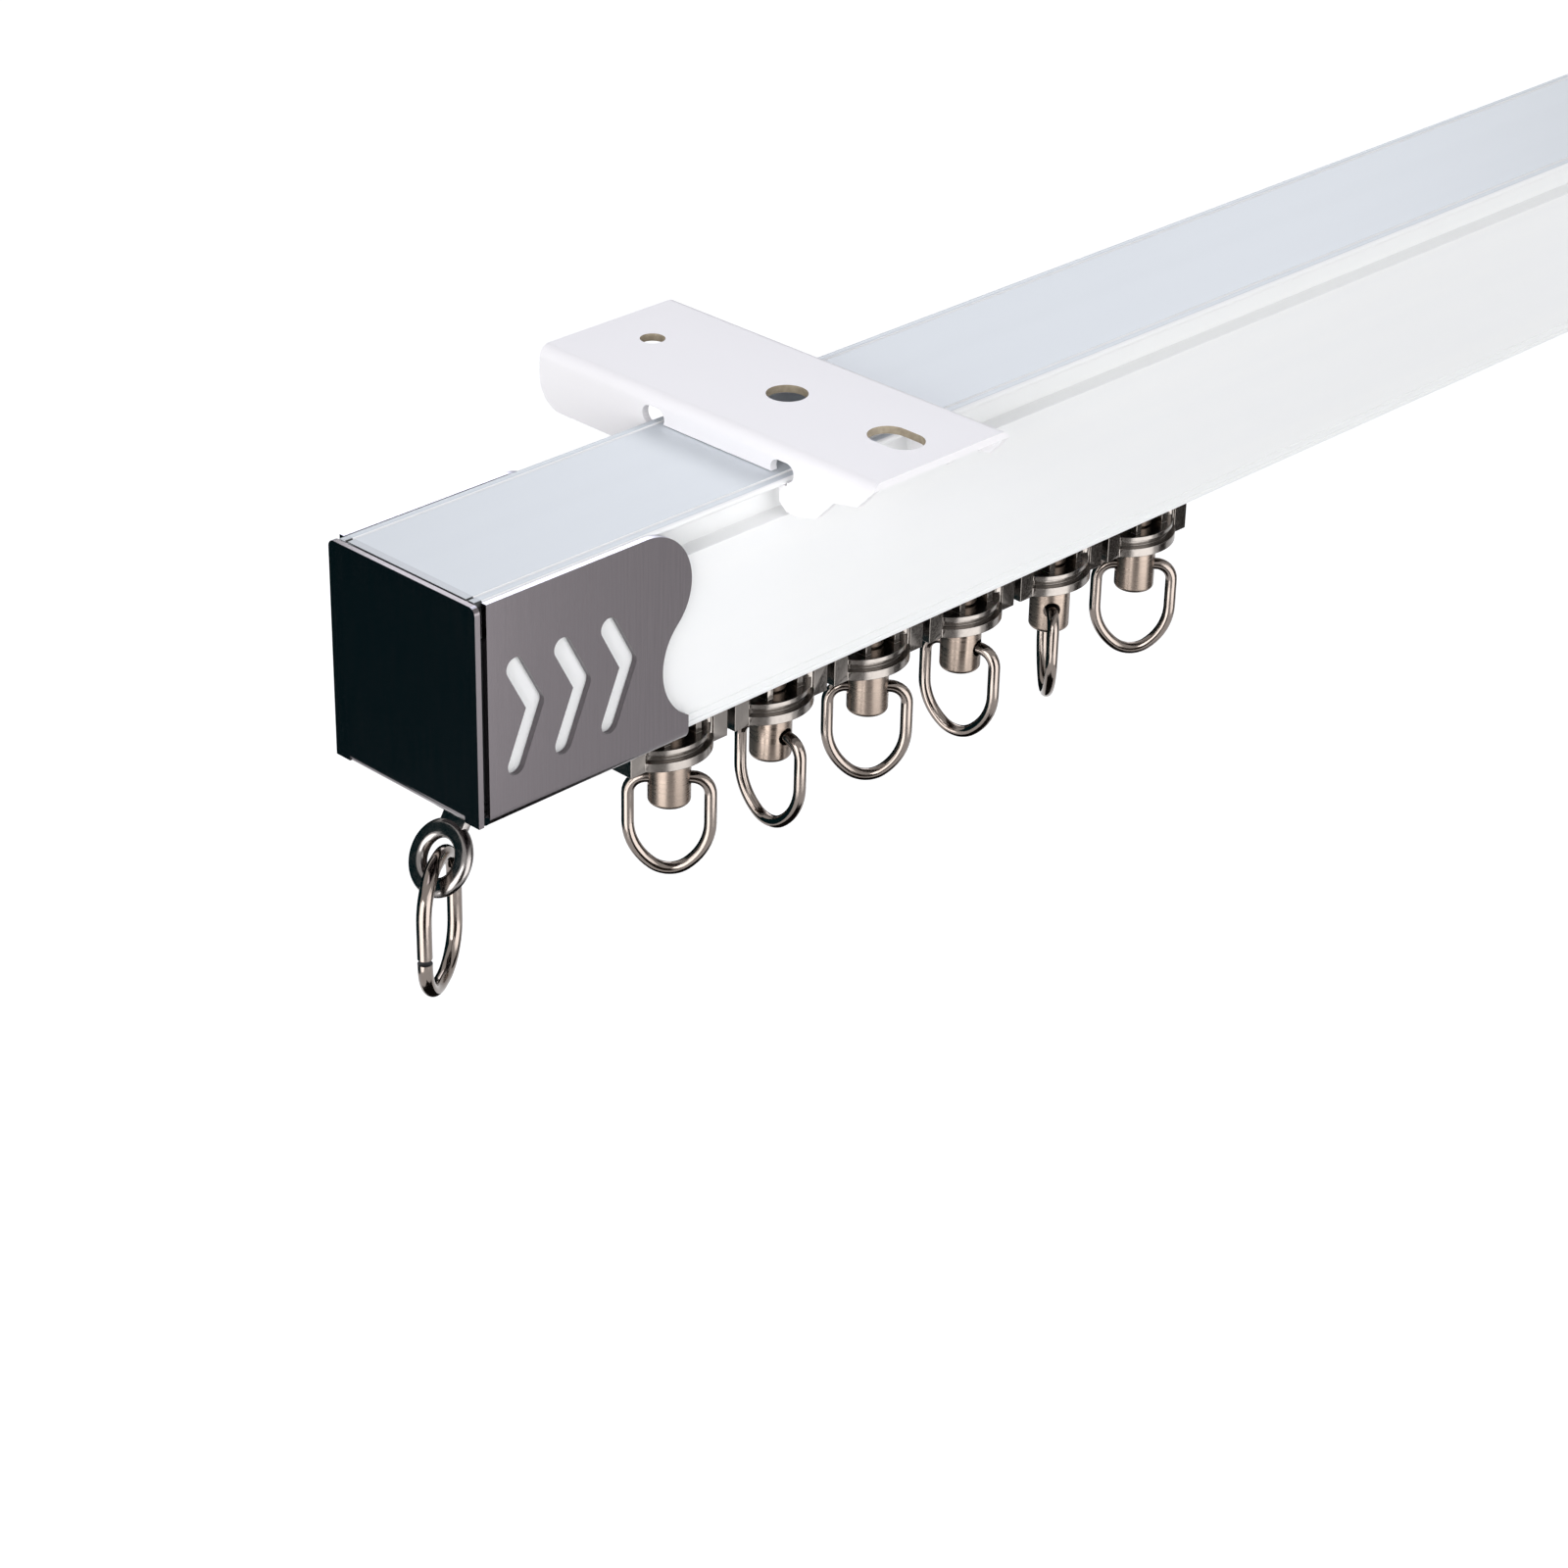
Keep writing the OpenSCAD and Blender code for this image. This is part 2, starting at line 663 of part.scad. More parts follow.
// Guide roller, turning on its stud in the rail's slot
module roller(k, s) {
  edge = 0.7;
  color("white") at_runner(k) translate([s * roller_x, 0, roller_z]) rotate_extrude() {
    bore = stud_d / 2 + run_gap;
    translate([bore, edge]) square([roller_d / 2 - bore, roller_h - edge]);
    translate([bore, 0]) square([roller_d / 2 - bore - edge, edge + eps]);
    translate([roller_d / 2 - edge, edge]) circle(edge);
  }
}

// Swivel: a barrel below the base plate, its shaft riveted over above the rim
module swivel(k) {
  top = base_z - slide_gap;
  shaft = base_top - base_z + 2 * slide_gap;
  color("rosybrown") at_runner(k) translate([0, 0, top]) rotate(ring_turn[k - 1]) difference() {
    union() {
      rotate_extrude() {
        translate([0, barrel_edge - barrel_h]) square([barrel_d / 2, barrel_h - barrel_edge]);
        translate([0, -barrel_h]) square([barrel_d / 2 - barrel_edge, barrel_edge + eps]);
        translate([barrel_d / 2 - barrel_edge, barrel_edge - barrel_h]) circle(barrel_edge);
      }
      cylinder(d = pivot_d, h = shaft + eps);
      translate([0, 0, shaft]) cylinder(d = pivot_d + 1.2, h = 1.4);
    }
    translate([0, 0, -cross_hole_drop]) rotate([0, 90, 0])
      cylinder(d = cross_hole_d, h = 2 * barrel_d, center = true);
  }
}

// D ring: a straight bar through the barrel, two corners and a round bow. A bead
// a hair over the wire's size joins each straight side to the bow.
module ring(k) {
  weld = 0.01;
  top = base_z - slide_gap - cross_hole_drop;
  half = (ring_w - ring_wire) / 2;
  low = -ring_corner_r - ring_leg;
  side_r = half + 3 * ring_bow;
  bottom_r = side_r - 5 * ring_bow;
  bow_z = low - 4 * ring_bow;
  turn = atan2(4, 3);
  color("silver") at_runner(k) translate([0, 0, top]) rotate(ring_turn[k - 1]) {
    wire_run([ring_corner_r - half, 0], [half - ring_corner_r, 0], ring_wire);
    for (s = [0, 1]) mirror([s, 0, 0]) {
      wire_arc([half - ring_corner_r, -ring_corner_r], ring_corner_r, 0, 90, ring_wire);
      wire_run([half, low], [half, -ring_corner_r], ring_wire);
      translate([half, 0, low]) sphere(d = ring_wire + 2 * weld);
      wire_arc([half - side_r, low], side_r, -turn, turn, ring_wire);
    }
    wire_arc([0, bow_z], bottom_r, 180 + turn, 180 - 2 * turn, ring_wire);
  }
}

module runner_part(k, part) {
  if (part == "carriage") carriage(k);
  if (part == "axle") axle(k);
  if (part == "wheel_near") wheel(k, -1);
  if (part == "wheel_far") wheel(k, 1);
  if (part == "roller_left") roller(k, -1);
  if (part == "roller_right") roller(k, 1);
  if (part == "swivel") swivel(k);
  if (part == "ring") ring(k);
}

rail();
end_cap_left();
end_cap_right();
clamp_screws();
end_hook_left();
end_hook_right();
end_link_left();
end_link_right();
bracket_left();
bracket_right();
for (k = [1:runner_count]) for (part = RUNNER_PARTS)
  runner_part(k, part);
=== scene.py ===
import json
import math

import bmesh
import bpy
from mathutils import Matrix, Vector


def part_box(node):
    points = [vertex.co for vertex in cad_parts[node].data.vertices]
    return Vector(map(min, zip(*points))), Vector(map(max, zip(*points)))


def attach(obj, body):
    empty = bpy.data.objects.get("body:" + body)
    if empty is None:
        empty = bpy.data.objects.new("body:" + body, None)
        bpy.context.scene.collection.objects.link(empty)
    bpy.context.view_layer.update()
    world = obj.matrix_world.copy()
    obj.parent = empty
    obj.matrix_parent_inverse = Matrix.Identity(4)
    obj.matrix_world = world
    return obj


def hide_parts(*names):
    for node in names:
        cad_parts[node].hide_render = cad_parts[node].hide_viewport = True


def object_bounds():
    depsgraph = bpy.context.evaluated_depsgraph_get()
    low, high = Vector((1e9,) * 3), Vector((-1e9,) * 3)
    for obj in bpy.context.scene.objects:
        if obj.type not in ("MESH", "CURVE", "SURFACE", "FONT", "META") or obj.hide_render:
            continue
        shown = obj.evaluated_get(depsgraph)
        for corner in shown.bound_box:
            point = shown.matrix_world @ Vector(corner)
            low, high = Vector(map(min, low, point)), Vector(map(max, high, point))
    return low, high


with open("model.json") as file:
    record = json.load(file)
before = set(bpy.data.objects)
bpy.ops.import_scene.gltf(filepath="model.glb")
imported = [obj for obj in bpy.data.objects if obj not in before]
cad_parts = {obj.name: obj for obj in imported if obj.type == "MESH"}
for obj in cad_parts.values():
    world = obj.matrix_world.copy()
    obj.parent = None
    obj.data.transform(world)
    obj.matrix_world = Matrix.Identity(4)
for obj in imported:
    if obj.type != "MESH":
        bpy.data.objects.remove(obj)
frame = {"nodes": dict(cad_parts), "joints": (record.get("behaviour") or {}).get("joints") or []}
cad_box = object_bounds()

# The studio. The track hangs free in front of a seamless white sweep, in an even white
# tent, lit by wide boxes in front, at the left and behind and a small one over the cap, and
# seen from the photograph's side and height. Cards that only polished metal sees stand
# round the caps and give it its dark sides and bright streaks.

CAMERA_PLACE = (-0.41341, -0.40219, 0.24723)
CAMERA_TURN = (61.165, -1.032, -45.296)
CAMERA_LENS = 91.03
CAMERA_SENSOR = 36
CAMERA_NEAR = 0.01
TENT_COLOUR = "#F2F4F7"
TENT_LEVEL = 0.42
FLOOR_BELOW = 0.30
FLOOR_SIZE = 12.0
FLOOR_MIDDLE = 0.1
FLOOR_GREY = 0.8
FLOOR_GLOW = 0.55
SOFT_BOXES = (  # name, place, aim, side in metres, watts, colour
    ("front soft box", (0.1, -2.2, 0.5), (0.1, 0, 0), 1.6, 18.5, "#FFFFFF"),
    ("top soft box", (-0.12, -0.10, 0.62), (-0.04, 0, 0), 0.35, 0.6, "#F2EFFF"),
    ("left soft box", (-2.4, -0.7, 0.5), (0, 0, 0), 1.4, 41, "#FFFFFF"),
    ("far soft box", (1.6, 1.4, 1.2), (0.1, 0, 0), 1.0, 9, "#F6F8FF"),
)
CARD_FOOT = -0.40
CARDS = (  # name, azimuth and distance from the caps, width, top, colour, strength
    ("left wall", 130, 0.45, 0.42, 0.16, "#10343A", 1.0),
    ("left wall behind", 90, 0.50, 0.40, 0.16, "#101C1E", 1.0),
    ("far wall", 56, 0.60, 0.50, 0.12, "#0E1415", 1.0),
    ("left strip", -172, 0.50, 0.38, 0.10, "#FFFFFF", 5.5),
    ("brown card", -127, 0.60, 0.34, 0.10, "#3E342D", 1.0),
    ("right strip", -83, 0.55, 0.50, 0.10, "#FFFFFF", 4.5),
    ("right card", -33, 0.56, 0.22, 0.16, "#3B3735", 1.0),
)
LOW_CARD_SIDE = 0.34
LOW_CARD_BELOW = 0.25
LOW_CARD_FORWARD = 0.02
LOW_CARD_COLOUR = "#1C1A18"


def linear(text, alpha=1.0):
    """An sRGB hex colour as Blender's linear one."""
    out = []
    for start in (1, 3, 5):
        value = int(text[start:start + 2], 16) / 255
        out.append(value / 12.92 if value <= 0.04045 else ((value + 0.055) / 1.055) ** 2.4)
    return (*out, alpha)


def add(tree, kind, sockets=None, **settings):
    """Adds a node, sets it, and gives each named socket a value or a link."""
    made = tree.nodes.new(kind)
    for name, value in settings.items():
        setattr(made, name, value)
    for name, value in (sockets or {}).items():
        if isinstance(value, bpy.types.NodeSocket):
            tree.links.new(value, made.inputs[name])
        else:
            made.inputs[name].default_value = value
    return made


def empty_material(name):
    """A material whose tree has no nodes yet."""
    material = bpy.data.materials.new(name)
    material.use_nodes = True
    material.node_tree.nodes.clear()
    return material, material.node_tree


def is_seen(tree):
    """One where the camera looks, straight or by way of a mirror or a clear body."""
    path = add(tree, "ShaderNodeLightPath")
    seen = path.outputs["Is Camera Ray"]
    for ray in ("Is Glossy Ray", "Is Transmission Ray"):
        seen = add(tree, "ShaderNodeMath", {0: seen, 1: path.outputs[ray]},
                   operation="MAXIMUM").outputs[0]
    return seen


def stage_sheet(name, width, height, matrix):
    """A flat sheet of the studio, made level round the origin and then put in place."""
    mesh = bpy.data.meshes.new(name)
    bm = bmesh.new()
    bmesh.ops.create_grid(bm, x_segments=1, y_segments=1, size=0.5)
    bmesh.ops.scale(bm, vec=(width, height, 1), verts=bm.verts)
    bmesh.ops.transform(bm, matrix=matrix, verts=bm.verts)
    bm.to_mesh(mesh)
    bm.free()
    sheet = bpy.data.objects.new(name, mesh)
    bpy.context.scene.collection.objects.link(sheet)
    return sheet


def metal_card(name, width, height, matrix, colour, strength):
    """A glowing card that only polished metal sees, and that lights nothing else."""
    sheet = stage_sheet(name, width, height, matrix)
    material, tree = empty_material(name)
    shade = add(tree, "ShaderNodeEmission", {"Color": linear(colour), "Strength": strength})
    add(tree, "ShaderNodeOutputMaterial", {"Surface": shade.outputs[0]})
    sheet.data.materials.append(material)
    for ray in ("camera", "diffuse", "transmission", "volume_scatter", "shadow"):
        setattr(sheet, "visible_" + ray, False)


scene = bpy.context.scene
camera = bpy.data.objects.new("camera", bpy.data.cameras.new("camera"))
camera.data.lens = CAMERA_LENS
camera.data.sensor_width = CAMERA_SENSOR
camera.data.clip_start = CAMERA_NEAR
camera.location = CAMERA_PLACE
camera.rotation_euler = [math.radians(a) for a in CAMERA_TURN]
scene.collection.objects.link(camera)
scene.camera = camera
scene.view_settings.view_transform = "Standard"

world = bpy.data.worlds.new("white tent")
world.use_nodes = True
world.node_tree.nodes.clear()
scene.world = world
tree = world.node_tree
tent = add(tree, "ShaderNodeBackground", {"Color": linear(TENT_COLOUR), "Strength": TENT_LEVEL})
white = add(tree, "ShaderNodeBackground", {"Color": (1, 1, 1, 1), "Strength": 1.0})
mix = add(tree, "ShaderNodeMixShader", {0: is_seen(tree), 1: tent.outputs[0], 2: white.outputs[0]})
add(tree, "ShaderNodeOutputWorld", {"Surface": mix.outputs[0]})

for name, place, aim, side, watts, colour in SOFT_BOXES:
    lamp = bpy.data.lights.new(name, "AREA")
    lamp.size = side
    lamp.energy = watts
    lamp.color = linear(colour)[:3]
    box = bpy.data.objects.new(name, lamp)
    box.location = place
    box.rotation_euler = (Vector(aim) - Vector(place)).to_track_quat("-Z", "Y").to_euler()
    scene.collection.objects.link(box)

lowest = cad_box[0][2]
floor = stage_sheet("floor", FLOOR_SIZE, FLOOR_SIZE,
                    Matrix.Translation((FLOOR_MIDDLE, 0, lowest - FLOOR_BELOW)))
material, tree = empty_material("white sweep")
matte = add(tree, "ShaderNodeBsdfDiffuse", {"Color": (FLOOR_GREY, FLOOR_GREY, FLOOR_GREY, 1)})
glow = add(tree, "ShaderNodeEmission", {"Color": (1, 1, 1, 1), "Strength": FLOOR_GLOW})
both = add(tree, "ShaderNodeAddShader", {0: matte.outputs[0], 1: glow.outputs[0]})
mix = add(tree, "ShaderNodeMixShader", {0: is_seen(tree), 1: matte.outputs[0], 2: both.outputs[0]})
add(tree, "ShaderNodeOutputMaterial", {"Surface": mix.outputs[0]})
floor.data.materials.append(material)

for name, azimuth, distance, width, top, colour, strength in CARDS:
    turn = math.radians(azimuth)
    stand = Matrix.Rotation(turn + math.pi / 2, 4, "Z") @ Matrix.Rotation(math.pi / 2, 4, "X")
    spot = Matrix.Translation((distance * math.cos(turn), distance * math.sin(turn),
                               (CARD_FOOT + top) / 2))
    metal_card(name, width, top - CARD_FOOT, spot @ stand, colour, strength)
metal_card("low card", LOW_CARD_SIDE, LOW_CARD_SIDE,
           Matrix.Translation((0, -LOW_CARD_FORWARD, lowest - LOW_CARD_BELOW)),
           LOW_CARD_COLOUR, 1.0)

# The rail: a white powder-coated aluminium extrusion. The running channel is below, and
# the groove that the brackets hook into is under each top edge. Near the sawn ends the
# colour is painted dark, as painted shade in the caps' seams, and the top is painted a
# greyer tone, as painted shade where less light falls on it.

PEEL = 1250.0  # ripples of the coat's orange peel per metre, 0.8 mm each
DRAWN_LINES = 250.0  # drawn lines per metre across the rail, one each 4 mm
DRAWN_OUT = (0.01, 1, 1)  # they run along the rail
SEAM_SHADE_REACH = 0.0014  # how far the painted seam shade reaches in from each sawn end
TOP_DEPTH = 0.0002
RAIL_EDGE = 0.00025
RAIL_COATS_AND_SHADES = (  # name, thick coat, thin coat, painted seam shade at the ends; the second row is painted top shade
    ("powder-coated aluminium", "#F6F6F5", "#F2F3F4", "#2A2C2E"),
    ("thin powder coat on top", "#D6DCE1", "#D3D9DE", "#C2C7CC"),
)

MERGE_WITHIN = 2e-6
FLAT_WITHIN = 1.0  # degrees between faces that are one flat face
EDGE_ANGLE = 28  # degrees at an edge that is eased
SHARP_ANGLE = 40  # degrees at an edge that is shaded as sharp


def finish_of(name, colour, roughness, metallic=0.0):
    """Starts a material: its tree, its main shader and the object's own coordinates."""
    material = bpy.data.materials.new(name)
    material.use_nodes = True
    tree = material.node_tree
    shader = tree.nodes["Principled BSDF"]
    shader.inputs["Base Color"].default_value = linear(colour)
    shader.inputs["Roughness"].default_value = roughness
    shader.inputs["Metallic"].default_value = metallic
    place = add(tree, "ShaderNodeTexCoord").outputs["Object"]
    return material, tree, shader, place


def noise(tree, place, per_metre, detail=2.0, stretch=None):
    """Noise with so many grains per metre, drawn out where a stretch is given."""
    if stretch:
        place = add(tree, "ShaderNodeMapping", {"Vector": place, "Scale": stretch}).outputs[0]
    return add(tree, "ShaderNodeTexNoise",
               {"Vector": place, "Scale": per_metre, "Detail": detail}).outputs["Fac"]


def blend(tree, share, first, second):
    """A colour between two, each a socket or a linear colour."""
    return add(tree, "ShaderNodeMix", {0: share, 6: first, 7: second},
               data_type="RGBA").outputs[2]


def roughen(tree, shader, height, least, most, start=0.0, end=1.0):
    """Gives the shader a roughness between two, spread over part of a pattern's range."""
    spread = add(tree, "ShaderNodeMapRange", {"Value": height, "From Min": start, "From Max": end,
                                              "To Min": least, "To Max": most})
    tree.links.new(spread.outputs[0], shader.inputs["Roughness"])


def ripple(tree, shader, height, strength, depth):
    """Gives the shader a bump from a pattern, with its depth in metres."""
    bump = add(tree, "ShaderNodeBump", {"Height": height, "Strength": strength, "Distance": depth})
    tree.links.new(bump.outputs[0], shader.inputs["Normal"])


def eased(node, body, material, edge):
    """A node's own solid with its sharp edges eased, standing for the node."""
    mesh = frame["nodes"][node].data.copy()
    bm = bmesh.new()
    bm.from_mesh(mesh)
    bmesh.ops.remove_doubles(bm, verts=bm.verts, dist=MERGE_WITHIN)
    bmesh.ops.dissolve_limit(bm, angle_limit=math.radians(FLAT_WITHIN),
                             verts=bm.verts, edges=bm.edges)
    bm.to_mesh(mesh)
    bm.free()
    mesh.materials.clear()
    mesh.materials.append(material)
    piece = bpy.data.objects.new(node + "_finished", mesh)
    bpy.context.scene.collection.objects.link(piece)
    bevel = piece.modifiers.new("eased edges", "BEVEL")
    bevel.width = edge
    bevel.segments = 2
    bevel.limit_method = "ANGLE"
    bevel.angle_limit = math.radians(EDGE_ANGLE)
    bevel.use_clamp_overlap = True
    bevel.harden_normals = True
    mesh.shade_smooth()
    mesh.set_sharp_from_angle(angle=math.radians(SHARP_ANGLE))
    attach(piece, body)
    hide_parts(node)
    return piece


low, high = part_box("rail")
half_length = (high[0] - low[0]) / 2
coat_and_top_shade = []
for name, thick, thin, seam_shade in RAIL_COATS_AND_SHADES:
    material, tree, shader, place = finish_of(name, thick, 0.34)
    ripple(tree, shader, noise(tree, place, PEEL), 0.3, 0.00002)
    lines = noise(tree, place, DRAWN_LINES, stretch=DRAWN_OUT)
    tone = blend(tree, lines, linear(thick), linear(thin))
    along = add(tree, "ShaderNodeSeparateXYZ", {0: place})
    reach = add(tree, "ShaderNodeMath", {0: along.outputs[0], 1: (low[0] + high[0]) / 2},
                operation="SUBTRACT")
    reach = add(tree, "ShaderNodeMath", {0: reach.outputs[0]}, operation="ABSOLUTE")
    # Within this reach of each sawn end the colour turns dark: painted shade in the caps' seams.
    in_seam_shade = add(tree, "ShaderNodeMath", {0: reach.outputs[0], 1: half_length - SEAM_SHADE_REACH},
               operation="GREATER_THAN")
    tree.links.new(blend(tree, in_seam_shade.outputs[0], tone, linear(seam_shade)), shader.inputs["Base Color"])
    coat_and_top_shade.append(material)
piece = eased("rail", "track", coat_and_top_shade[0], RAIL_EDGE)
piece.data.materials.append(coat_and_top_shade[1])
# The top faces, and the top of each end, take the second, greyer material: painted shade on the
# top.
for face in piece.data.polygons:
    on_top = face.normal.z > 0.9 and face.center.z > high[2] - TOP_DEPTH
    near_end = min(face.center.x - low[0], high[0] - face.center.x) < 2 * SEAM_SHADE_REACH
    if on_top or (near_end and face.center.z > high[2] - SEAM_SHADE_REACH):
        face.material_index = 1

# The end caps: polished dark stainless sheet, folded in one piece, with three open
# chevrons in each cheek. A trace of upright brushing softens what the sheet shows. Its
# cut and tumbled edges are a brighter, faintly violet steel, partly the raw cut metal
# and partly a painted highlight along the edges.

BRUSH_LINES = 2500.0  # brush lines per metre, one each 0.4 mm; finer on the real sheet
BRUSHED_OUT = (1, 1, 0.03)  # they run upright
EDGE_NICKS = 1500.0  # nicks per metre of a cut edge, one each 0.7 mm
CAP_SHEET = 0.001
CAP_FOLD = 0.002
CAP_SEAM = 0.0025
CAP_LOBE = 0.0285
CAP_EDGE = 0.0002

material, tree, shader, place = finish_of("polished stainless sheet", "#746E71", 0.18, 1.0)
brush = noise(tree, place, BRUSH_LINES, 3.0, BRUSHED_OUT)
roughen(tree, shader, brush, 0.13, 0.19, 0.3, 0.7)
ripple(tree, shader, brush, 0.05, 0.00001)
tone = blend(tree, brush, linear("#716C6F"), linear("#605B5E"))
tree.links.new(tone, shader.inputs["Base Color"])
cap_steel = material

# Cut edges: a brighter, faintly violet steel, partly the raw cut metal and partly a painted
# highlight.
material, tree, shader, place = finish_of("cut edge and painted highlight", "#BDBCC9", 0.30, 1.0)
roughen(tree, shader, noise(tree, place, EDGE_NICKS), 0.22, 0.42)
cut_edge_and_highlight = material

for side in ("left", "right"):
    piece = eased("end_cap_" + side, "track", cap_steel, CAP_EDGE)
    piece.data.materials.append(cut_edge_and_highlight)
    low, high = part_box("end_cap_" + side)
    outer = low[0] if side == "left" else high[0]
    for face in piece.data.polygons:
        spot, way = face.center, face.normal
        in_cheek = min(spot.y - low[1], high[1] - spot.y) < CAP_SHEET and abs(way.y) < 0.5
        at_seam = abs(spot.x - outer) < CAP_SEAM and spot.z > low[2] + CAP_FOLD
        in_floor = spot.z - low[2] < CAP_SHEET and abs(way.z) < 0.5
        # The floor's edges and the cheeks' edges at the seam and above the lobe take the brighter
        # steel: partly cut metal, partly painted highlight.
        if in_floor or (in_cheek and (at_seam or spot.z > low[2] + CAP_LOBE)):
            face.material_index = 1

# The clamp screws: steel pan heads with a cross recess, one under each cap. Bright zinc
# plate gives them a cold grey with soft, uneven cloudiness.

ZINC_CLOUDS = 700.0  # clouds per metre, 1.4 mm each
SCREW_EDGE = 0.00015

material, tree, shader, place = finish_of("zinc-plated steel", "#9C9DA1", 0.22, 1.0)
roughen(tree, shader, noise(tree, place, ZINC_CLOUDS, 3.0), 0.14, 0.34)
eased("clamp_screws", "track", material, SCREW_EDGE)

# The end hooks: flat steel bar bent down through the cap's slot, with a coined eye. The
# nickel plate lies over rolled bar, a little rougher than the drawn wire.

ROLLED_GRAIN = 900.0  # grains per metre, 1.1 mm each
HOOK_EDGE = 0.0002

material, tree, shader, place = finish_of("nickel-plated bar", "#7F7B79", 0.14, 1.0)
rolled = noise(tree, place, ROLLED_GRAIN, 3.0)
roughen(tree, shader, rolled, 0.10, 0.28)
ripple(tree, shader, rolled, 0.2, 0.00002)
for side in ("left", "right"):
    eased("end_hook_" + side, "track", material, HOOK_EDGE)

# The end links: nickel-plated wire bent into an oval with a split low on one side. Each
# hangs in a hook's eye and swings on it. The plate over drawn wire is mirror bright with
# dull handled patches, and the cut ends at the split are dark steel.

HANDLED_PATCHES = 350.0  # dull patches per metre, 2.9 mm each
CUT_END_SPECKS = 1800.0  # specks per metre, 0.6 mm each
LINK_WIRE = 0.0024
LINK_WIDTH = 0.018
LINK_HEIGHT = 0.024
LINK_CORNER = 0.007
LINK_SPLIT = 0.0009
LINK_SPLIT_DROP = 0.62  # how far down the oval the split is
CUT_DEPTH = 0.00002


def arc(across, down, radius, start, end, steps):
    """Points of an arc in a loop's plane, between two angles in degrees."""
    out = []
    for k in range(steps + 1):
        turn = math.radians(start + (end - start) * k / steps)
        out.append((across + radius * math.cos(turn), down + radius * math.sin(turn)))
    return out


def bent_wire(node, body, materials, loop, wire, hinge, closed):
    """Round wire along a loop that hangs from its hinge, standing for a node.

    The first material is the wire's, and the second that of its cut ends."""
    top = Vector(hinge["pos_m"])
    level = Vector(hinge["axis"]).normalized()
    curve = bpy.data.curves.new(node + "_finished", "CURVE")
    curve.dimensions = "3D"
    curve.bevel_depth = wire / 2
    curve.bevel_resolution = 10
    curve.use_fill_caps = not closed
    line = curve.splines.new("POLY")
    line.points.add(len(loop) - 1)
    for point, (across, down) in zip(line.points, loop):
        point.co = (*(top + level * across + Vector((0, 0, down))), 1)
    line.use_cyclic_u = closed
    line.use_smooth = True
    wound = bpy.data.objects.new(node + "_line", curve)
    bpy.context.scene.collection.objects.link(wound)
    mesh = bpy.data.meshes.new_from_object(wound)
    bpy.data.objects.remove(wound)
    for material in materials:
        mesh.materials.append(material)
    if not closed:
        cuts = [top.z + loop[0][1], top.z + loop[-1][1]]
        for face in mesh.polygons:
            if min(abs(face.center.z - cut) for cut in cuts) < CUT_DEPTH:
                face.material_index = 1
    mesh.shade_smooth()
    mesh.set_sharp_from_angle(angle=math.radians(60))
    piece = bpy.data.objects.new(node + "_finished", mesh)
    bpy.context.scene.collection.objects.link(piece)
    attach(piece, body)
    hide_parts(node)


material, tree, shader, place = finish_of("nickel-plated wire", "#7F7670", 0.10, 1.0)
roughen(tree, shader, noise(tree, place, HANDLED_PATCHES, 3.0), 0.06, 0.20, 0.35, 0.7)
wire_nickel = material

material, tree, shader, place = finish_of("cut wire end", "#2B2C2D", 0.45, 1.0)
roughen(tree, shader, noise(tree, place, CUT_END_SPECKS), 0.35, 0.6)
cut_wire = material

half = (LINK_WIDTH - LINK_WIRE) / 2
drop = LINK_HEIGHT - LINK_WIRE
inner = half - LINK_CORNER
split = -LINK_SPLIT_DROP * drop
loop = [(-half, split - LINK_SPLIT / 2)]
loop += arc(-inner, LINK_CORNER - drop, LINK_CORNER, 180, 270, 12)
loop += arc(inner, LINK_CORNER - drop, LINK_CORNER, 270, 360, 12)
loop += arc(inner, -LINK_CORNER, LINK_CORNER, 0, 90, 12)
loop += arc(-inner, -LINK_CORNER, LINK_CORNER, 90, 180, 12)
loop.append((-half, split + LINK_SPLIT / 2))
hinges = {joint["name"]: joint for joint in frame["joints"]}
for side in ("left", "right"):
    name = "end_link_" + side
    bent_wire(name, name, (wire_nickel, cut_wire), loop, LINK_WIRE,
              hinges[name + "_swing"], False)

# The ceiling brackets: steel sheet with two folded flanges that hook round the rail's top
# edges, in a powder coat that is warmer than the rail's. The punched walls of the screw
# holes are painted a speckled brown, as painted shade inside the holes.

HOLE_SHADE_SPECKS = 1200.0  # specks per metre, 0.8 mm each
BRACKET_SHEET = 0.0013
BRACKET_EDGE = 0.0003
BRACKET_HOLES = (  # place across the track, and half sizes along and across it
    (0, 0.0036, 0.0036),
    (-0.0236, 0.0036, 0.0052),
    (0.0307, 0.0023, 0.0023),
)

material, tree, shader, place = finish_of("powder-coated steel sheet", "#F5F3F5", 0.42)
ripple(tree, shader, noise(tree, place, PEEL), 0.35, 0.00002)
bracket_white = material

# The holes' walls: a speckled brown that is painted shade inside the punched holes.
material, tree, shader, place = finish_of("painted shade in the punched holes", "#9A8B76", 0.6)
specks = noise(tree, place, HOLE_SHADE_SPECKS)
tree.links.new(blend(tree, specks, linear("#7F7260"), linear("#B5A890")),
               shader.inputs["Base Color"])
hole_painted_shade = material

for side in ("left", "right"):
    piece = eased("bracket_" + side, "track", bracket_white, BRACKET_EDGE)
    piece.data.materials.append(hole_painted_shade)
    low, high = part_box("bracket_" + side)
    middle = (low[0] + high[0]) / 2
    for face in piece.data.polygons:
        spot = face.center
        # Upright faces inside the screw holes take the painted shade.
        upright = abs(face.normal.z) < 0.3 and spot.z > -BRACKET_SHEET
        if upright and any(abs(spot.x - middle) < along and abs(spot.y - place) < across
                           for place, along, across in BRACKET_HOLES):
            face.material_index = 1

# The runners' carriages: zinc castings with a post up through the rail's slot. The nickel
# plate over them is bright, with the casting's fine ripple under it.

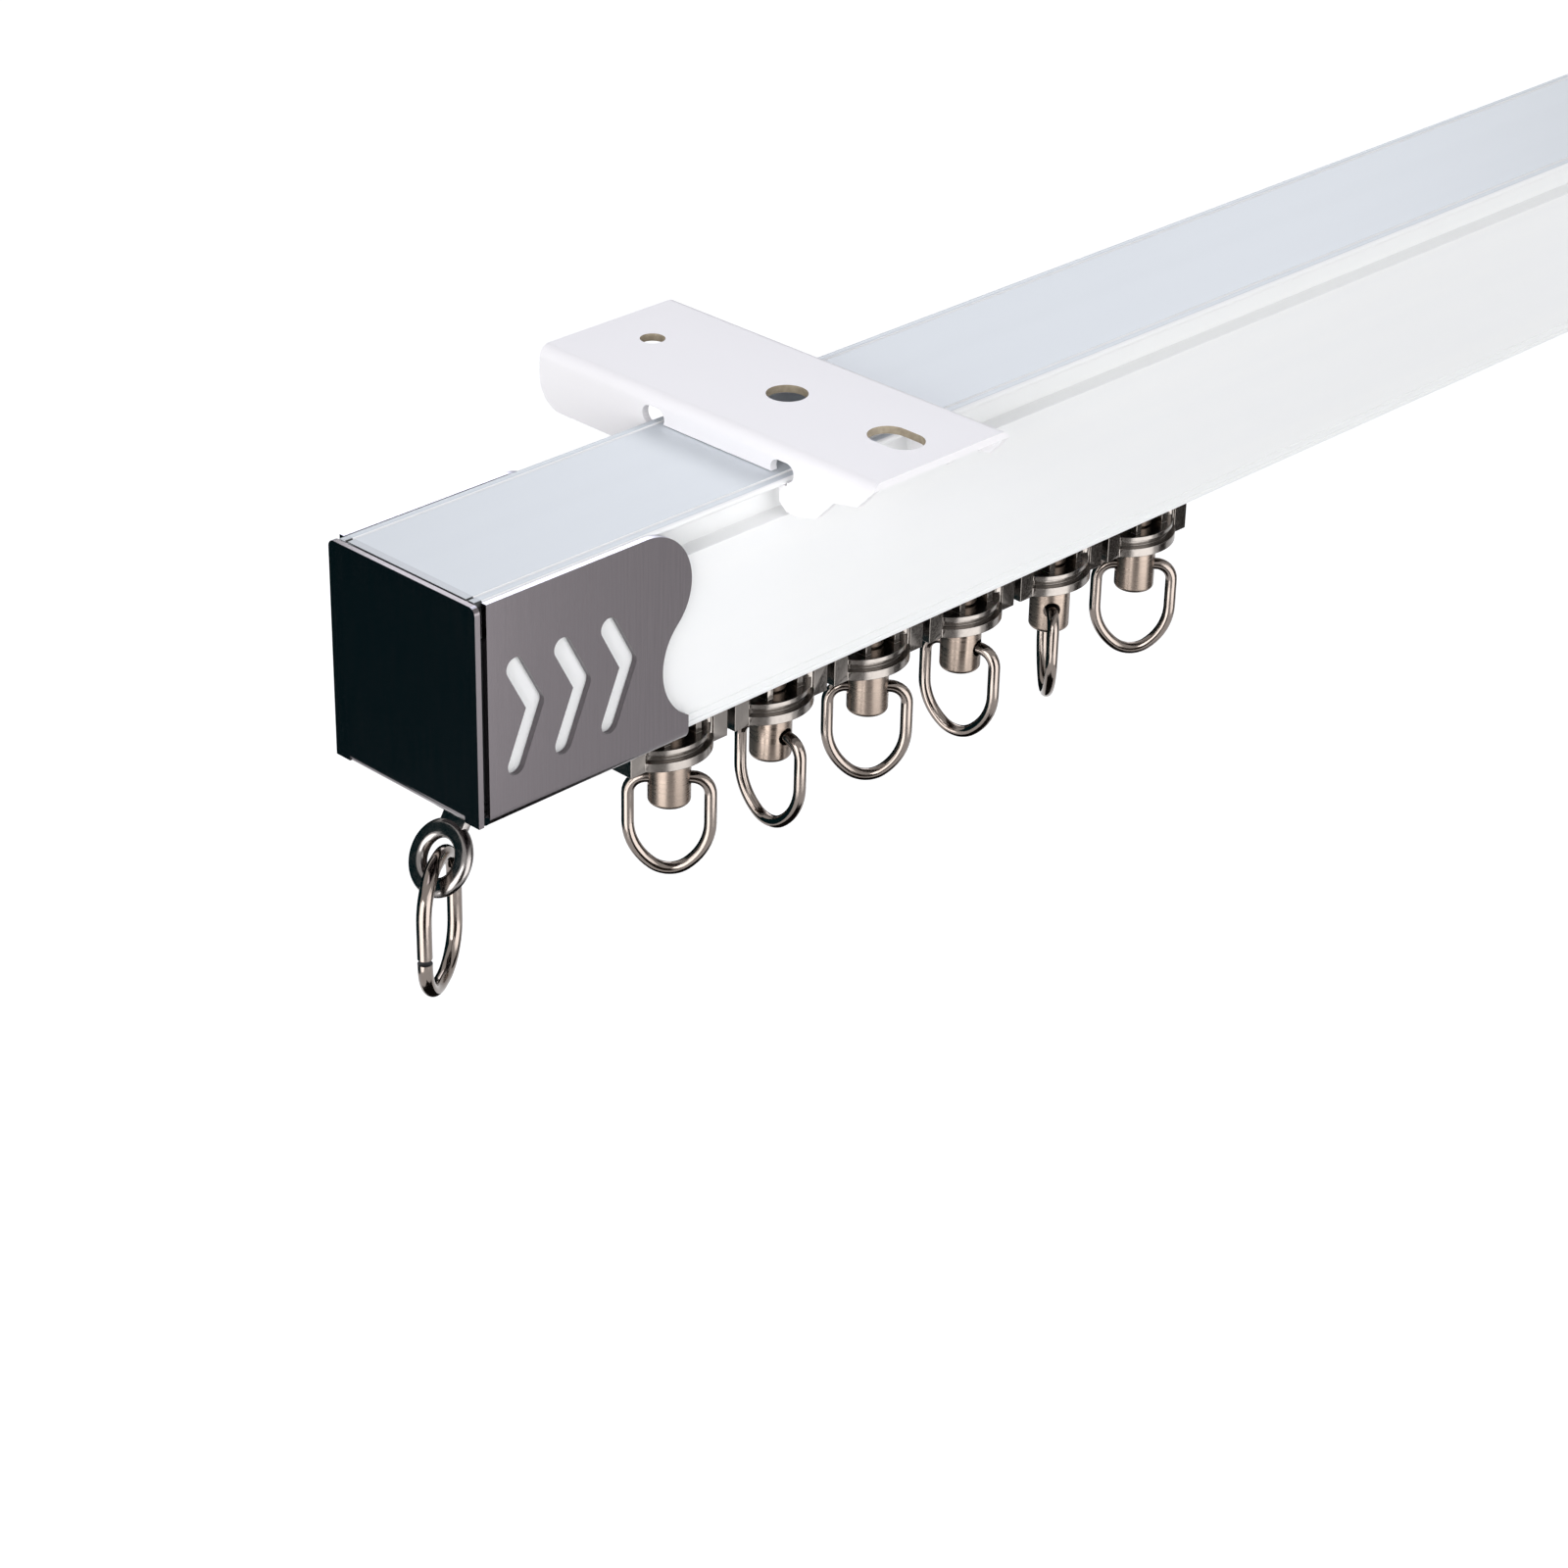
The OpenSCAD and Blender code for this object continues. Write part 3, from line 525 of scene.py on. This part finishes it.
RUNNERS = range(1, 7)
CAST_GRAIN = 0.0006
CARRIAGE_EDGE = 0.0002

material, tree, shader, place = finish_of("nickel-plated casting", "#7D7874", 0.16, 1.0)
grain = noise(tree, place, 1 / CAST_GRAIN, 3.0)
roughen(tree, shader, grain, 0.10, 0.30)
ripple(tree, shader, grain, 0.15, 0.00003)
for number in RUNNERS:
    eased("runner_%d_carriage" % number, "runner_%d" % number, material,
          CARRIAGE_EDGE)

# The runners' axles and load wheels: a ground steel pin with grinding marks round it, and
# two moulded nylon wheels, which turn with it on the lips inside the rail. Nylon is pale,
# waxy and slightly see-into.

GRINDING_MARKS = 2500.0  # marks per metre, one each 0.4 mm
GROUND_ROUND = (0.05, 1, 0.05)  # they run round the axle
MOULD_GRAIN = 500.0  # ripples of the mould's skin per metre, 2 mm each
NYLON_DEPTH = 0.001  # how far light gets into the nylon
WHEEL_EDGE = 0.0001


def nylon(name, colour, roughness, share):
    """Moulded nylon, with the share of the light that goes into it."""
    material, tree, shader, place = finish_of(name, colour, roughness)
    shader.inputs["Subsurface Weight"].default_value = share
    shader.inputs["Subsurface Scale"].default_value = NYLON_DEPTH
    ripple(tree, shader, noise(tree, place, MOULD_GRAIN), 0.2, 0.00003)
    return material


material, tree, shader, place = finish_of("ground steel", "#A5A6A8", 0.26, 1.0)
roughen(tree, shader, noise(tree, place, GRINDING_MARKS, stretch=GROUND_ROUND), 0.16, 0.38)
wheel_nylon = nylon("off-white nylon", "#DCDCD8", 0.48, 0.15)
for number in RUNNERS:
    wheelset = "wheelset_%d" % number
    eased("runner_%d_axle" % number, wheelset, material, WHEEL_EDGE)
    for side in ("near", "far"):
        eased("runner_%d_wheel_%s" % (number, side), wheelset, wheel_nylon,
              WHEEL_EDGE)

# The runners' guide rollers: two of moulded nylon, milkier than the wheels, upright in
# the rail's slot beside each post.

ROLLER_EDGE = 0.0001

roller_nylon = nylon("milky nylon", "#EAEAE8", 0.42, 0.25)
for number in RUNNERS:
    for side in ("left", "right"):
        eased("runner_%d_roller_%s" % (number, side), "roller_%s_%d" % (side, number),
              roller_nylon, ROLLER_EDGE)

# The runners' swivels: barrels turned from brass and nickel-plated, satin and slightly
# brown, with lathe lines round them.

LATHE_LINES = 2200.0  # lathe lines per metre, one each 0.45 mm
TURNED_ROUND = (0.05, 0.05, 1)  # they run round the barrel
SWIVEL_EDGE = 0.0002

material, tree, shader, place = finish_of("satin nickel", "#80746B", 0.24, 1.0)
lathe = noise(tree, place, LATHE_LINES, stretch=TURNED_ROUND)
roughen(tree, shader, lathe, 0.18, 0.38)
ripple(tree, shader, lathe, 0.1, 0.00002)
for number in RUNNERS:
    eased("runner_%d_swivel" % number, "swivel_%d" % number, material,
          SWIVEL_EDGE)

# The runners' D rings: closed rings of the same wire as the end links, bent through the
# swivel's cross hole. Two straight legs go over into bowed sides and a tighter bottom.

RING_WIRE = 0.0021
RING_WIDTH = 0.0155
RING_CORNER = 0.003
RING_LEG = 0.0053
RING_BOW = 0.001  # what the sides' and the bottom's radii are counted in

half = (RING_WIDTH - RING_WIRE) / 2
foot = -RING_CORNER - RING_LEG
side_radius = half + 3 * RING_BOW
bottom_radius = side_radius - 5 * RING_BOW
turn = math.degrees(math.atan2(4, 3))  # the bottom's centre is 3 bows in and 4 down
loop = arc(half - RING_CORNER, -RING_CORNER, RING_CORNER, 90, 0, 8)
loop += arc(half - side_radius, foot, side_radius, 0, -turn, 10)
loop += arc(0, foot - 4 * RING_BOW, bottom_radius, -turn, turn - 180, 14)[1:-1]
loop += arc(side_radius - half, foot, side_radius, turn + 180, 180, 10)
loop += arc(RING_CORNER - half, -RING_CORNER, RING_CORNER, 180, 90, 8)
for number in RUNNERS:
    body = "ring_%d" % number
    bent_wire("runner_%d_ring" % number, body, (wire_nickel, cut_wire), loop,
              RING_WIRE, hinges[body + "_swing"], True)
